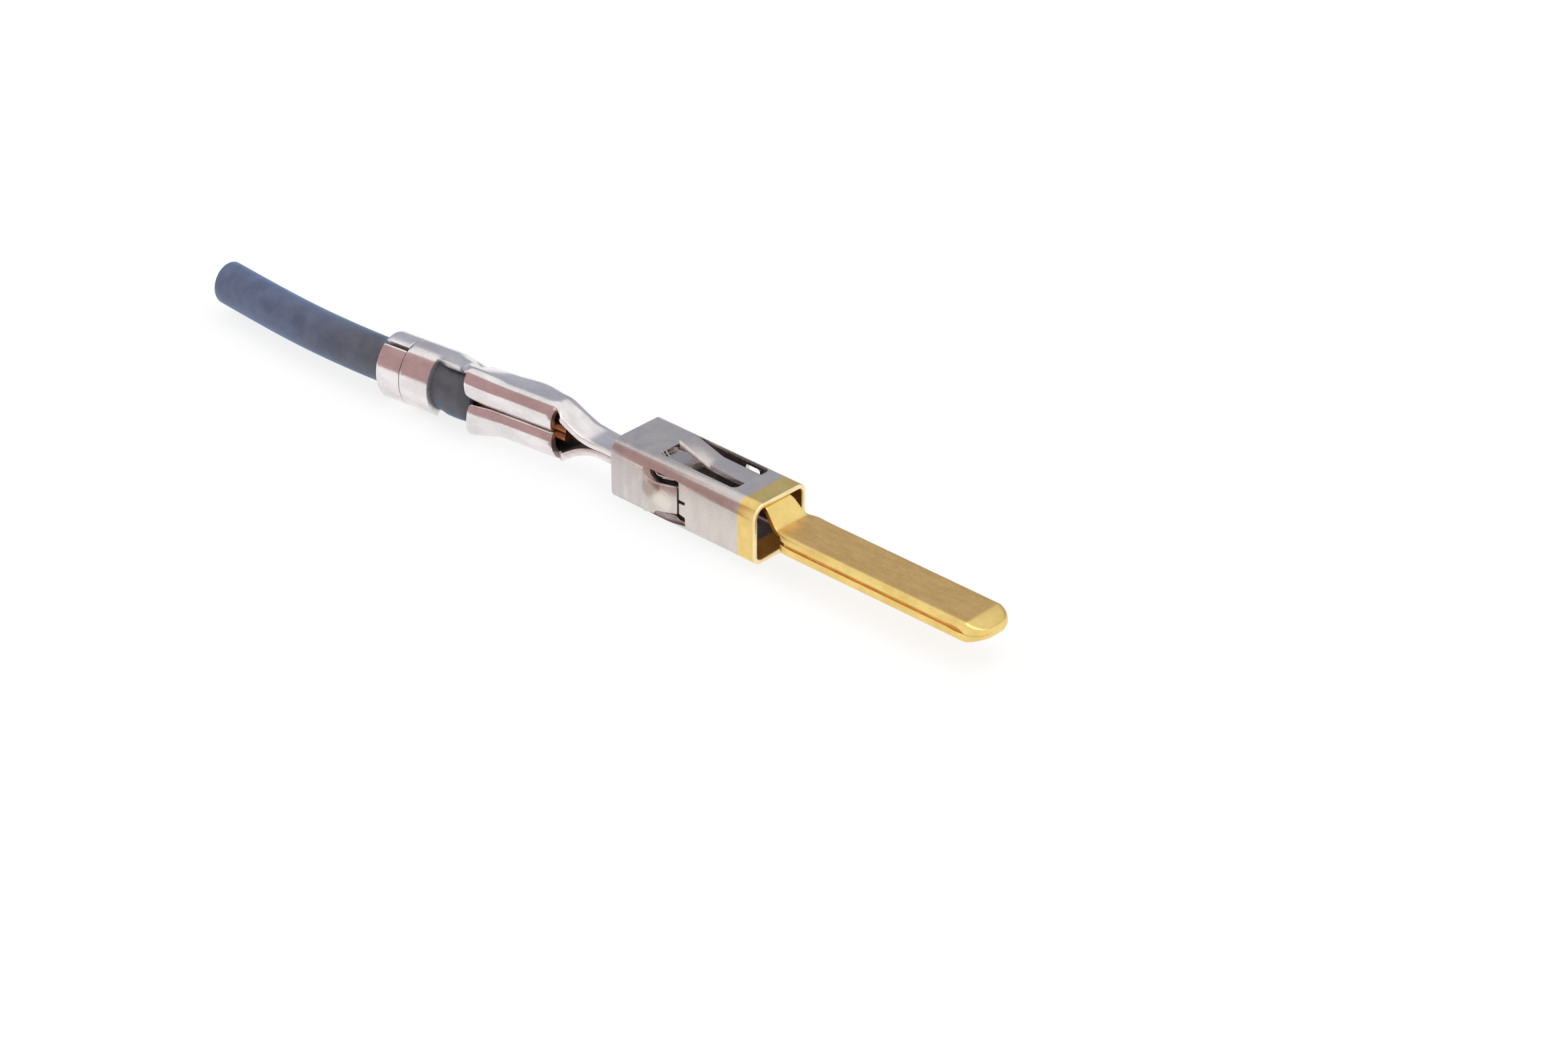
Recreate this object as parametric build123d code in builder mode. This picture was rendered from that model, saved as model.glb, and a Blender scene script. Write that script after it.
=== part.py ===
from build123d import *
import math
import os

# Crimp pin contact on a cut stub of wire. Millimetres.
# +X runs to the tab's tip, +Z is up through the lock box's top wall, -Y is the side with the crimps' seam.
# The origin is the middle of the lock box's underside.

# Contact sheet
sheet = 0.20
fold_gap = 0.02

# Tab: the sheet folded flat, closed along its far edge, a groove along its near edge
tab_width = 1.50
tab_thickness = 0.60
tab_reach = 7.66
tab_edge_radius = 0.16
tab_groove = 0.15
tab_mid_height = 0.86
tip_bevel_length = 0.50
tip_thickness = 0.26
tip_corner = 0.50

# Root between the box's mouth and the tab
root_slope_length = 0.40
root_flare_length = 0.95
lower_leaf_start = 0.22

# Lock box
box_length = 5.38
box_width = 2.02
box_height = 1.80
box_wall = 0.14
box_bend = 0.26
window_rear = 1.50
window_front = box_length - 1.16
window_near = 0.52
window_far = 0.83
lance_near = 0.17
lance_far = 0.49
lance_flat_end = window_front - 1.36
lance_tip = 1.72
lance_rise = 0.33
tab_window_rear = 1.57
press_tab_root = 1.22
tab_window_front = 2.57
press_tab_end = 2.44
press_tab_depth = 0.12
press_tab_low = 0.47
press_tab_high = 1.20
side_slot_low = 0.22
side_slot_high = 1.44
far_hole_front = box_length - 1.43
far_hole_rear = far_hole_front - 0.80

# Body inside the box
body_near = 0.55
body_far = 0.40
body_rear = 1.20
body_front = box_length - 1.48
relief_rear = 2.45
relief_front = box_length - 1.08
nose_rear = box_length - 0.78

# Crimps, on an axis that leaves the neck a little off the tab's line
neck_length = 2.46
crimp_yaw = 4.5
crimp_droop = 1.6
crimp_axis_near = 0.22
barrel_length = 3.14
barrel_taper = 0.95
barrel_width = 1.66
barrel_depth = 1.26
barrel_corner = 0.36
bell_length = 1.00
bell_flare = 0.36
barrel_valley = 0.19
seam_inset = 0.06
seam_gap = 0.02
grip_front = 4.52
grip_front_band = 1.05
grip_rear_band = 0.88
grip_sheet_half_width = 0.80
grip_sheet_half_depth = 0.69
wing_tip_angle = 57.0
wing_root_angle = 110.0
channel_wall_angle = 68.0

# Wire: seven strands in an insulating tube
strand_diameter = 0.25
strand_pitch = 0.26
strand_lead = 0.08
wire_diameter = 1.28
wire_bore = 0.80
stub_run = 2.15
stub_turn_side = 3.6
stub_turn_rise = 0.4
first_leg_share = 0.45
arc_share = 0.80

os.makedirs("parts", exist_ok=True)

rear = -box_length / 2
mouth = box_length / 2
mid = box_height / 2
tab_end = mouth + tab_reach
plate_top = box_height - box_wall
tab_top = tab_mid_height + tab_thickness / 2
tab_low = tab_mid_height - tab_thickness / 2
tab_rear = mouth + root_slope_length

# Crimp axis: its front end, its forward direction and the planes square to it
yaw = math.radians(crimp_yaw)
droop = math.radians(crimp_droop)
forward = Vector(math.cos(yaw) * math.cos(droop), math.sin(yaw) * math.cos(droop), math.sin(droop))
crimp_start = Vector(rear - neck_length, -crimp_axis_near, mid)
crimp = Plane(origin=crimp_start, x_dir=(-math.sin(yaw), math.cos(yaw), 0), z_dir=forward)


def ring_wedge(first, last):
    """Corner points of the wedge between two angles, counted from the near side up over the top."""
    points = [(0, 0)]
    for step in range(5):
        a = math.radians(first + (last - first) * step / 4)
        points.append((-3 * math.cos(a), 3 * math.sin(a)))
    return points


# Neck stations, from the box's inside back to the barrel:
# place along X, half of the gap at the near edges, half of the gap at the fold, near edge, fold's outer face
stations = [
    (rear + body_rear, plate_top - mid - sheet, plate_top - mid - sheet, -body_near, body_far),
    (rear + 0.25, fold_gap / 2, fold_gap / 2, -body_near, body_far),
    (rear - 0.40 * neck_length, fold_gap / 2, fold_gap / 2, -body_near, body_far),
    (rear - 0.60 * neck_length, 0.09, 0.04, -body_near - 0.10, body_far),
    (rear - 0.76 * neck_length, 0.29, 0.09, -body_near - 0.17, body_far),
    (rear - 0.90 * neck_length, 0.50, 0.22, -body_near - 0.24, body_far),
    (rear - 1.02 * neck_length, barrel_width / 2 - sheet, 0.31, -body_near - 0.28, body_far),
    (rear - 1.15 * neck_length, barrel_width / 2 - sheet, 0.40, -0.35, body_far - 0.02),
    (rear - neck_length - barrel_taper - 0.1, barrel_width / 2 - sheet, 0.57, -0.35, body_far - 0.05),
]

with BuildPart() as contact_body:
    # Tab: outer form, hollow between the leaves, groove along the near edge
    with BuildSketch(Plane.YZ.offset(tab_rear)):
        with Locations((0, tab_mid_height)):
            RectangleRounded(tab_width, tab_thickness, tab_edge_radius)
            Rectangle(tab_width - 2 * sheet, tab_thickness - 2 * sheet, mode=Mode.SUBTRACT)
        with Locations((-tab_width / 2 + sheet, tab_mid_height)):
            Rectangle(2 * sheet + 0.2, tab_groove, mode=Mode.SUBTRACT)
    extrude(amount=tab_end - tab_rear)
    # Tip: bevelled top and bottom, corners rounded in plan
    with BuildSketch(Plane.XZ.offset(-tab_width)):
        with BuildLine():
            Polyline(
                (tab_rear - 1, tab_low),
                (tab_end - tip_bevel_length, tab_low),
                (tab_end, tab_mid_height - tip_thickness / 2),
                (tab_end, tab_mid_height + tip_thickness / 2),
                (tab_end - tip_bevel_length, tab_top),
                (tab_rear - 1, tab_top),
                close=True,
            )
        make_face()
    extrude(amount=2 * tab_width, mode=Mode.INTERSECT)
    with BuildSketch(Plane.XY) as tip_plan:
        with Locations((tab_end - tab_reach, 0)):
            Rectangle(2 * tab_reach, tab_width)
        fillet(tip_plan.vertices().group_by(Axis.X)[-1], tip_corner)
    extrude(amount=box_height, mode=Mode.INTERSECT)
    # Tip wall: the leaves meet at the end of the tab
    with BuildSketch(Plane.XZ.offset(-tab_width / 2 + sheet)):
        with BuildLine():
            Polyline(
                (tab_end - tip_bevel_length, tab_low + sheet / 2),
                (tab_end, tab_mid_height - tip_thickness / 2),
                (tab_end, tab_mid_height + tip_thickness / 2),
                (tab_end - tip_bevel_length, tab_top - sheet / 2),
                close=True,
            )
        make_face()
    extrude(amount=tab_width - 2 * sheet - tip_corner / 2)
    # Lower leaf starts ahead of the upper one
    with BuildSketch(Plane.XZ.offset(-tab_width)):
        with Locations((tab_rear - 0.5, tab_low)):
            Rectangle(2 * lower_leaf_start + 1, 2 * (tab_thickness - sheet) - 0.02)
    extrude(amount=2 * tab_width, mode=Mode.SUBTRACT)
    # Root: one sheet that comes out under the box's top wall and steps down to the upper leaf
    with BuildSketch(Plane.XZ.offset(-tab_width / 2 + 0.06)):
        with BuildLine():
            Polyline(
                (rear + nose_rear, plate_top),
                (mouth + 0.02, plate_top),
                (tab_rear, tab_top),
                (tab_rear + 0.06, tab_top),
                (tab_rear + 0.06, tab_top - sheet),
                (tab_rear - 0.10, tab_top - sheet),
                (mouth - 0.08, plate_top - sheet),
                (rear + nose_rear, plate_top - sheet),
                close=True,
            )
        make_face()
    extrude(amount=tab_width - 0.12)
    # The sheet is narrow at the mouth and flares to the tab's full width
    with BuildSketch(Plane.XY.offset(tab_low - 0.1)):
        with BuildLine():
            Polyline(
                (rear + nose_rear - 0.1, -body_near),
                (mouth - 0.05, -body_near),
                (tab_rear, -body_near - 0.07),
                (mouth + root_flare_length, -tab_width / 2),
                (mouth + root_flare_length, -tab_width),
                (rear + nose_rear - 0.1, -tab_width),
                close=True,
            )
        make_face()
        with BuildLine():
            Polyline(
                (rear + nose_rear - 0.1, body_far),
                (mouth - 0.05, body_far),
                (mouth + root_flare_length / 2, tab_width / 2),
                (mouth + root_flare_length / 2, tab_width),
                (rear + nose_rear - 0.1, tab_width),
                close=True,
            )
        make_face()
    extrude(amount=box_height, mode=Mode.SUBTRACT)
    # Body in the box: fold plate, top plate with the lance's relief, bottom plate and a flange on the near side
    with BuildSketch(Plane.YZ.offset(rear + body_rear)):
        with BuildLine():
            Polyline(
                (-body_near, plate_top),
                (body_far, plate_top),
                (body_far, box_wall),
                (-body_near, box_wall),
                (-body_near, box_wall + sheet),
                (body_far - sheet, box_wall + sheet),
                (body_far - sheet, plate_top - sheet),
                (-body_near, plate_top - sheet),
                close=True,
            )
        make_face()
    extrude(amount=body_front - body_rear)
    with BuildSketch(Plane.XZ.offset(-body_far)):
        with BuildLine():
            Polyline(
                (rear + body_front - 0.05, plate_top),
                (rear + nose_rear + 0.05, plate_top),
                (rear + nose_rear + 0.05, plate_top - 2 * sheet),
                (rear + body_front - 0.05, box_wall + 2 * sheet),
                close=True,
            )
        make_face()
    extrude(amount=sheet)
    with BuildSketch(Plane.XY.offset(plate_top - sheet)):
        with BuildLine():
            Polyline(
                (rear + relief_rear, -body_near - 0.1),
                (rear + relief_front, -body_near - 0.1),
                (rear + relief_front, body_far - sheet),
                (rear + relief_rear, body_far - sheet),
                close=True,
            )
        make_face()
    extrude(amount=sheet, mode=Mode.SUBTRACT)
    with BuildSketch(Plane.XY.offset(box_wall)):
        with Locations((rear + (tab_window_front + body_front) / 2 + 0.05, -body_near + sheet / 2)):
            Rectangle(body_front - tab_window_front - 0.10, sheet)
    extrude(amount=press_tab_high - box_wall)
    # Neck: the sheet folded flat behind the box, opening into the barrel
    for front_end, back_end in zip(stations, stations[1:]):
        for x, near_gap, fold_half, near, fold in (front_end, back_end):
            with BuildSketch(Plane.YZ.offset(x)):
                with BuildLine():
                    Polyline(
                        (near, mid + near_gap + sheet),
                        (fold, mid + fold_half + sheet),
                        (fold, mid - fold_half - sheet),
                        (near, mid - near_gap - sheet),
                        close=True,
                    )
                make_face()
        loft(ruled=True)
    for front_end, back_end in zip(stations, stations[1:]):
        for x, near_gap, fold_half, near, fold in (front_end, back_end):
            lean = (near_gap - fold_half) / (fold - sheet - near)
            with BuildSketch(Plane.YZ.offset(x)):
                with BuildLine():
                    Polyline(
                        (near - 0.2, mid + near_gap + 0.2 * lean),
                        (fold - sheet, mid + fold_half),
                        (fold - sheet, mid - fold_half),
                        (near - 0.2, mid - near_gap - 0.2 * lean),
                        close=True,
                    )
                make_face()
        loft(ruled=True, mode=Mode.SUBTRACT)
    # Conductor barrel: two lobes side by side, their meeting line on the near side
    for half in (0, 1):
        with BuildSketch(crimp.offset(-barrel_taper if half else bell_length - barrel_length)) as barrel_section:
            for side in (-1, 1):
                with Locations((0, side * barrel_width / 4)):
                    RectangleRounded(barrel_depth, barrel_width / 2, barrel_corner)
            with Locations((barrel_depth / 4, 0)):
                Rectangle(barrel_depth / 2, barrel_width - 2 * barrel_corner)
            with Locations((-barrel_depth / 4 + barrel_valley, 0)):
                Rectangle(barrel_depth / 2, barrel_width / 2)
            with Locations((seam_inset / 2, 0)):
                RectangleRounded(
                    barrel_depth - 2 * sheet - seam_inset,
                    barrel_width - 2 * sheet,
                    barrel_corner - sheet / 2,
                    mode=Mode.SUBTRACT,
                )
            if half:
                with Locations((barrel_depth / 2, 0)):
                    Rectangle(barrel_depth, 2 * barrel_width, mode=Mode.SUBTRACT)
        extrude(amount=barrel_taper if half else barrel_length - bell_length - barrel_taper)
    # Bell at the barrel's rear: the wings flare, the fold side stays level, and the seam opens
    for skin, how in ((0, Mode.ADD), (sheet, Mode.SUBTRACT)):
        for flare in (0, bell_flare):
            with BuildSketch(crimp.offset(-barrel_length + (bell_length if flare == 0 else 0))) as bell_section:
                with BuildLine():
                    Polyline(
                        (barrel_depth / 2 - skin, barrel_width / 2 - skin - flare / 4),
                        (-barrel_depth / 2 + skin - flare / 2, barrel_width / 2 - skin + flare / 2),
                        (-barrel_depth / 2 + skin - flare / 2, -barrel_width / 2 + skin - flare / 2),
                        (barrel_depth / 2 - skin, -barrel_width / 2 + skin + flare / 4),
                        close=True,
                    )
                make_face()
                fillet(bell_section.vertices(), barrel_corner - skin / 2)
        loft(ruled=True, mode=how)
    with BuildSketch(Plane(crimp_start, x_dir=forward, z_dir=-crimp.x_dir)):
        with BuildLine():
            Polyline(
                (0.1, seam_gap / 2),
                (-barrel_length + bell_length, seam_gap / 2),
                (-barrel_length - 0.1, bell_flare),
                (-barrel_length - 0.1, -bell_flare),
                (-barrel_length + bell_length, -seam_gap / 2),
                (0.1, -seam_gap / 2),
                close=True,
            )
        make_face()
    extrude(amount=barrel_depth, mode=Mode.SUBTRACT)
    # Channel between the crimps: the fold side and low walls
    with BuildSketch(crimp.offset(-grip_front)):
        Ellipse(grip_sheet_half_depth + sheet, grip_sheet_half_width + sheet)
        Ellipse(grip_sheet_half_depth, grip_sheet_half_width, mode=Mode.SUBTRACT)
        with BuildLine():
            Polyline(*ring_wedge(-channel_wall_angle - 30, channel_wall_angle), close=True)
        make_face(mode=Mode.SUBTRACT)
    extrude(amount=grip_front - barrel_length + 0.25)
    # Insulation grip: two bands, each with its gap on the other side
    for start, band, first, last in (
        (grip_front, grip_front_band, -wing_root_angle, -wing_tip_angle),
        (grip_front + grip_front_band, grip_rear_band, wing_tip_angle, wing_root_angle),
    ):
        with BuildSketch(crimp.offset(-start - band)):
            Ellipse(grip_sheet_half_depth + sheet, grip_sheet_half_width + sheet)
            Ellipse(grip_sheet_half_depth, grip_sheet_half_width, mode=Mode.SUBTRACT)
            with BuildLine():
                Polyline(*ring_wedge(first, last), close=True)
            make_face(mode=Mode.SUBTRACT)
        extrude(amount=band)
contact_body.part.label = "contact_body"
export_step(contact_body.part, "parts/contact_body.step")

# The near wall's tab and the strip it bends from, sloping inward and then level
with BuildPart() as press_tab:
    with BuildSketch(Plane.XY):
        with BuildLine():
            Polyline(
                (rear + press_tab_root, -box_width / 2),
                (rear + tab_window_rear + 0.12, -box_width / 2 + press_tab_depth),
                (rear + press_tab_end, -box_width / 2 + press_tab_depth),
                (rear + press_tab_end, -box_width / 2 + press_tab_depth + box_wall),
                (rear + tab_window_rear + 0.10, -box_width / 2 + press_tab_depth + box_wall),
                (rear + press_tab_root, -box_width / 2 + box_wall),
                close=True,
            )
        make_face()
    extrude(amount=box_height)
    with BuildSketch(Plane.XZ.offset(-box_width)) as press_tab_outline:
        with BuildLine():
            Polyline(
                (rear + press_tab_root, side_slot_low),
                (rear + tab_window_rear + 0.10, side_slot_low),
                (rear + tab_window_rear + 0.10, press_tab_low),
                (rear + press_tab_end, press_tab_low),
                (rear + press_tab_end, press_tab_high),
                (rear + tab_window_rear, press_tab_high),
                (rear + tab_window_rear, side_slot_high),
                (rear + press_tab_root, side_slot_high),
                close=True,
            )
        make_face()
        fillet(press_tab_outline.vertices().group_by(Axis.X)[-1], 0.10)
    extrude(amount=2 * box_width, mode=Mode.INTERSECT)

with BuildPart() as lock_box:
    with BuildSketch(Plane.YZ.offset(rear)):
        with Locations((0, mid)):
            RectangleRounded(box_width, box_height, box_bend)
            RectangleRounded(
                box_width - 2 * box_wall, box_height - 2 * box_wall, box_bend - box_wall, mode=Mode.SUBTRACT
            )
    extrude(amount=box_length)
    # Window around the lance in the top wall
    with BuildSketch(Plane.XY.offset(box_height - box_bend)) as window:
        with Locations((rear + (window_rear + window_front) / 2, (window_far - window_near) / 2)):
            Rectangle(window_front - window_rear, window_far + window_near)
        fillet(window.vertices().group_by(Axis.X)[0], 0.12)
        fillet(window.vertices().group_by(Axis.X)[-1], 0.15)
    extrude(amount=box_bend, mode=Mode.SUBTRACT)
    # Lance: level from its root, then rising to its free end
    with BuildSketch(Plane.XZ.offset(-lance_far)) as lance_side:
        with BuildLine():
            Polyline(
                (rear + window_front + 0.2, plate_top),
                (rear + lance_flat_end, plate_top),
                (rear + lance_tip + 0.04, plate_top + lance_rise),
                (rear + lance_tip, box_height + lance_rise),
                (rear + lance_flat_end, box_height),
                (rear + window_front + 0.2, box_height),
                close=True,
            )
        make_face()
        fillet(lance_side.vertices().group_by(Axis.X)[2], 0.6)
    extrude(amount=lance_far + lance_near)
    # Opening in the near wall, and the tab that stands in it
    with BuildSketch(Plane.XZ.offset(box_width / 2 - box_wall)) as side_window:
        with BuildLine():
            Polyline(
                (rear + press_tab_root, side_slot_low),
                (rear + press_tab_root, side_slot_high),
                (rear + tab_window_front, side_slot_high),
                (rear + tab_window_front, mid + 0.03),
                (rear + tab_window_front + 0.20, mid + 0.01),
                (rear + tab_window_front + 0.20, mid - 0.08),
                (rear + tab_window_front, mid - 0.06),
                (rear + tab_window_front, press_tab_low + 0.06),
                (rear + tab_window_front + 0.20, press_tab_low + 0.02),
                (rear + tab_window_front + 0.22, side_slot_low),
                close=True,
            )
        make_face()
    extrude(amount=box_wall, mode=Mode.SUBTRACT)
    add(press_tab.part)
    # Hole near the top of the far wall
    with BuildSketch(Plane.XZ.offset(-box_width / 2)):
        with Locations((rear + (far_hole_rear + far_hole_front) / 2, box_height - box_bend - 0.15)):
            Rectangle(far_hole_front - far_hole_rear, 0.30)
    extrude(amount=box_wall, mode=Mode.SUBTRACT)
lock_box.part.label = "lock_box"
export_step(lock_box.part, "parts/lock_box.step")

# Route of the stub behind the grip, in the crimp axis's frame: back, then swinging over and up
grip_rear = -(grip_front + grip_front_band + grip_rear_band)
turn_side = math.radians(stub_turn_side)
turn_rise = math.radians(stub_turn_rise)
# The arcs take a fixed share of the short first leg
stub_bend_radius = arc_share * first_leg_share * stub_run / math.tan(math.hypot(turn_side, turn_rise) / 2)
route = [Vector(0, 0, grip_rear)]
for leg, turn in enumerate((0, 1, 2, 2.6)):
    length = stub_run * (first_leg_share if leg == 0 else 1.0)
    step = Vector(
        math.tan(turn * turn_side) * length,
        math.tan(turn * turn_rise) * length,
        -length,
    )
    route.append(route[-1] + step)
route_points = [crimp.from_local_coords(p) for p in route]
bore_end = route[-1] + (route[-1] - route[-2]) * 0.1
bore_route = [Vector(0, 0, 0.5 - barrel_length)] + route[1:-1] + [bore_end]
bore_points = [crimp.from_local_coords(p) for p in bore_route]

with BuildPart() as wire_insulation:
    # Free stub
    with BuildLine() as stub_line:
        FilletPolyline(*route_points, radius=stub_bend_radius)
    with BuildSketch(Plane(route_points[0], x_dir=crimp.x_dir, z_dir=-forward)):
        Circle(wire_diameter / 2)
    sweep(path=stub_line.line)
    # Squeezed length inside the grip and up to the stripped end
    with BuildSketch(crimp.offset(grip_rear)):
        Ellipse(grip_sheet_half_depth, grip_sheet_half_width)
    extrude(amount=-grip_rear - barrel_length)
    # Bore for the strands
    with BuildLine() as bore_line:
        FilletPolyline(*bore_points, radius=stub_bend_radius)
    with BuildSketch(Plane(bore_line.line @ 0, x_dir=crimp.x_dir, z_dir=-forward)):
        Circle(wire_bore / 2)
    sweep(path=bore_line.line, mode=Mode.SUBTRACT)
wire_insulation.part.label = "wire_insulation"
export_step(wire_insulation.part, "parts/wire_insulation.step")

# Strands: one in the middle and six around it, from the stub's cut end to just ahead of the barrel
strand_places = [(0.0, 0.0)]
for sixth in range(6):
    angle = math.radians(60 * sixth + 30)
    strand_places.append((strand_pitch * math.cos(angle), strand_pitch * math.sin(angle)))
for number, (side, up) in enumerate(strand_places, start=1):
    shift = Vector(side, up, 0)
    front = crimp.from_local_coords(Vector(side, up, strand_lead))
    corners = [crimp.from_local_coords(p + shift) for p in route[1:]]
    with BuildPart() as strand:
        with BuildLine() as strand_line:
            FilletPolyline(front, *corners, radius=stub_bend_radius)
        with BuildSketch(Plane(front, x_dir=crimp.x_dir, z_dir=-forward)):
            Circle(strand_diameter / 2)
        sweep(path=strand_line.line)
    strand.part.label = f"strand_{number}"
    export_step(strand.part, f"parts/strand_{number}.step")
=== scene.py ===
"""Crimp pin contact on a cut wire stub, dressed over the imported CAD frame.

The formed sheet is built as it is stamped: rows of points on the sheet's outer face, thickened inwards.
Shapes are worked out in millimetres and made in metres.
"""
import math

import bmesh
import bpy
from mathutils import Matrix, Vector


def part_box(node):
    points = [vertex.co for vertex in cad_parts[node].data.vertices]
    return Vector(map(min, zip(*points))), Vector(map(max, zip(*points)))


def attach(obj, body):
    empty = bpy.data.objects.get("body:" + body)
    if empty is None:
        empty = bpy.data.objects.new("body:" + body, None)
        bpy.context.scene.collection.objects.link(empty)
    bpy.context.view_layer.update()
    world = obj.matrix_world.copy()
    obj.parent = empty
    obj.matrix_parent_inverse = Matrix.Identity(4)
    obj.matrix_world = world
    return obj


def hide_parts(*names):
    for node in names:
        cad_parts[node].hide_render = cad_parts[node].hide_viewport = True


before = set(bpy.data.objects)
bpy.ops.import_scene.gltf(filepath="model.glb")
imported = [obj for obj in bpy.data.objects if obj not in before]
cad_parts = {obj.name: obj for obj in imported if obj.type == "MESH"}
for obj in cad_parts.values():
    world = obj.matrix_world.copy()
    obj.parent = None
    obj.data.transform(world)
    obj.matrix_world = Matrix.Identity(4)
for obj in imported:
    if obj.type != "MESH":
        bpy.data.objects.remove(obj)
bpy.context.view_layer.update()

MM = 0.001

# Places read from the frame
box_low, box_high = (Vector(c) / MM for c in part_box("lock_box"))
body_low, body_high = (Vector(c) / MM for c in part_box("contact_body"))
REAR = box_low.x
MOUTH = box_high.x
BOX_HALF = box_high.y
TAB_END = body_high.x

# Contact sheet and tab
SHEET = 0.20
MID = 0.90
BOX_TOP = 1.80
BOX_WALL = 0.14
BOX_BEND = 0.26
NEAR_BEND = 0.42
PLATE_TOP = BOX_TOP - BOX_WALL
BODY_NEAR = 0.55
BODY_FAR = 0.40
TAB_HALF = 0.75
TAB_MID = 0.86
TAB_HALF_THICK = 0.30
TAB_ROUND = 0.14
TAB_GROOVE = 0.055
GROOVE_RISE = 0.045
GROOVE_WIDER = 0.02
GROOVE_SHUT = 0.004
TAB_REAR = MOUTH + 0.40
LEAF_START = TAB_REAR + 0.22
FLARE_END = MOUTH + 0.95
TIP_BEVEL = 0.50
TIP_HALF_THICK = 0.13
TIP_CORNER = 0.50
NOSE_REAR = MOUTH - 0.78

# Crimps: d is the distance behind the barrel's front end, along the crimp axis
NECK = 2.46
YAW = math.radians(4.5)
DROOP = math.radians(1.6)
FORWARD = Vector((math.cos(YAW) * math.cos(DROOP), math.sin(YAW) * math.cos(DROOP), math.sin(DROOP)))
SIDE = Vector((-math.sin(YAW), math.cos(YAW), 0))
UP = FORWARD.cross(SIDE)
START = Vector((REAR - NECK, -0.22, MID))
BELL_FRONT = 2.14
BELL_REAR = 3.14
GRIP_FRONT = 4.52
BAND_SPLIT = GRIP_FRONT + 1.05
GRIP_REAR = BAND_SPLIT + 0.88
GRIP_DEEP = 0.89
GRIP_WIDE = 1.00
LOBE = 0.41
LOBE_TURN = math.radians(50)
NECK_ROLL = 0.012
FAR_ROUND = 0.36
FRONT_SLANT = 0.22
CHANNEL_SLIM = 0.11

# Columns run from the seam on the near side over the top, round the far side and back underneath. EDGE is where the
# level top starts. Then come the channel's lower edge, the link between the grip's bands, the slots between their
# wings, how far the front band's short wing is set back, and between which columns the channel is slimmest
COLUMNS = 96
EDGE = 18
FAR_CORNER = 36
CHANNEL_END = 62
LINK = range(29, 67)
FRONT_SLOT_START, FRONT_SLOT_END = 74, 81
REAR_SLOT = range(16, 18)
SHORT_WING_BACK = 0.35
SLIM_FROM, SLIM_TO = 30, 46

# Places along the crimp axis, with the value there: the near face, the half height, the far face, how much lower
# the far side is, how much higher the upper half is than the lower, how deep the wings curl in at the seam, and how
# far off the axis the upper and lower wing end
NEAR_FACE = (
    (-1.48, -0.35), (-0.98, -0.44), (-0.59, -0.52), (-0.25, -0.59), (0, -0.63), (BELL_FRONT, -0.63),
    (BELL_REAR, -0.80),
)
HALF_HEIGHT = (
    (-3.66, 0.76), (-2.71, 0.21), (-1.28, 0.21), (-0.92, 0.30), (-0.59, 0.49), (-0.25, 0.70), (0, 0.83),
    (BELL_FRONT, 0.83), (BELL_REAR, 1.00),
)
FAR_FACE = (
    (-1.10, 0.625), (-0.80, 0.59), (-0.50, 0.49), (-0.25, 0.43), (0, 0.40), (0.30, 0.43), (0.70, 0.52), (1.10, 0.61),
    (1.40, 0.625),
)
FAR_DROP = ((0.9, 0), (BELL_FRONT, 0.17), (BELL_REAR, 0.46))
UPPER_LIFT = ((-0.7, 0), (0.1, 0.10), (BELL_REAR, 0.12))
CURL = ((BELL_FRONT + 0.4, 0.28), (BELL_REAR, 0.24))
UPPER_END = ((BELL_FRONT, 0.012), (BELL_FRONT + 0.4, 0.06), (BELL_REAR, 0.20))
LOWER_END = ((BELL_FRONT, 0.012), (BELL_FRONT + 0.4, -0.02), (BELL_REAR, -0.03))
EASE = 0.16

# Wire
WIRE = 0.64
BORE = 0.40
STRAND = 0.125
PITCH = 0.26
STUB_RUN = 2.15
STUB_SWING = math.radians(3.6)
STUB_RISE = math.radians(0.4)
SHOULDER = 0.16
SLUMP = 0.07
STRAND_SIDES = 20


def lookup(table, d):
    """Straight-line value of a table of (place, value) at d."""
    if d <= table[0][0]:
        return table[0][1]
    for (d0, v0), (d1, v1) in zip(table, table[1:]):
        if d <= d1:
            return v0 + (v1 - v0) * (d - d0) / (d1 - d0)
    return table[-1][1]


def eased(table, d, width=EASE):
    """The same, with its bends rounded over a width."""
    return sum(lookup(table, d + width * k / 4) for k in range(-4, 5)) / 9


def smooth(low, high, value):
    t = min(1, max(0, (value - low) / (high - low)))
    return t * t * (3 - 2 * t)


def fillet(p0, p1, p2, radius, steps=10):
    """Points of the arc that rounds the corner p1 between p0 and p2."""
    u = (p0 - p1).normalized()
    v = (p2 - p1).normalized()
    half = u.angle(v) / 2
    reach = min(radius / math.tan(half), 0.98 * (p0 - p1).length, 0.98 * (p2 - p1).length)
    radius = reach * math.tan(half)
    centre = p1 + (u + v).normalized() * (radius / math.sin(half))
    first = p1 + u * reach - centre
    last = p1 + v * reach - centre
    return [centre + first.lerp(last, k / steps).normalized() * radius for k in range(steps + 1)]


def resample(points, count):
    """count + 1 points evenly spaced along a line of points."""
    runs = [(b - a).length for a, b in zip(points, points[1:])]
    total = sum(runs)
    result = [points[0].copy()]
    at, passed = 0, 0.0
    for k in range(1, count):
        want = total * k / count
        while at < len(runs) - 1 and passed + runs[at] < want:
            passed += runs[at]
            at += 1
        result.append(points[at].lerp(points[at + 1], (want - passed) / max(runs[at], 1e-9)))
    return result + [points[-1].copy()]


def spread(low, high, step):
    count = max(1, round((high - low) / step))
    return [low + (high - low) * k / count for k in range(count + 1)]


def stations(places, step):
    """Places between and at the given ones, about one step apart."""
    found = []
    for low, high in zip(places, places[1:]):
        found += spread(low, high, step)[:-1]
    return found + [places[-1]]


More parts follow.
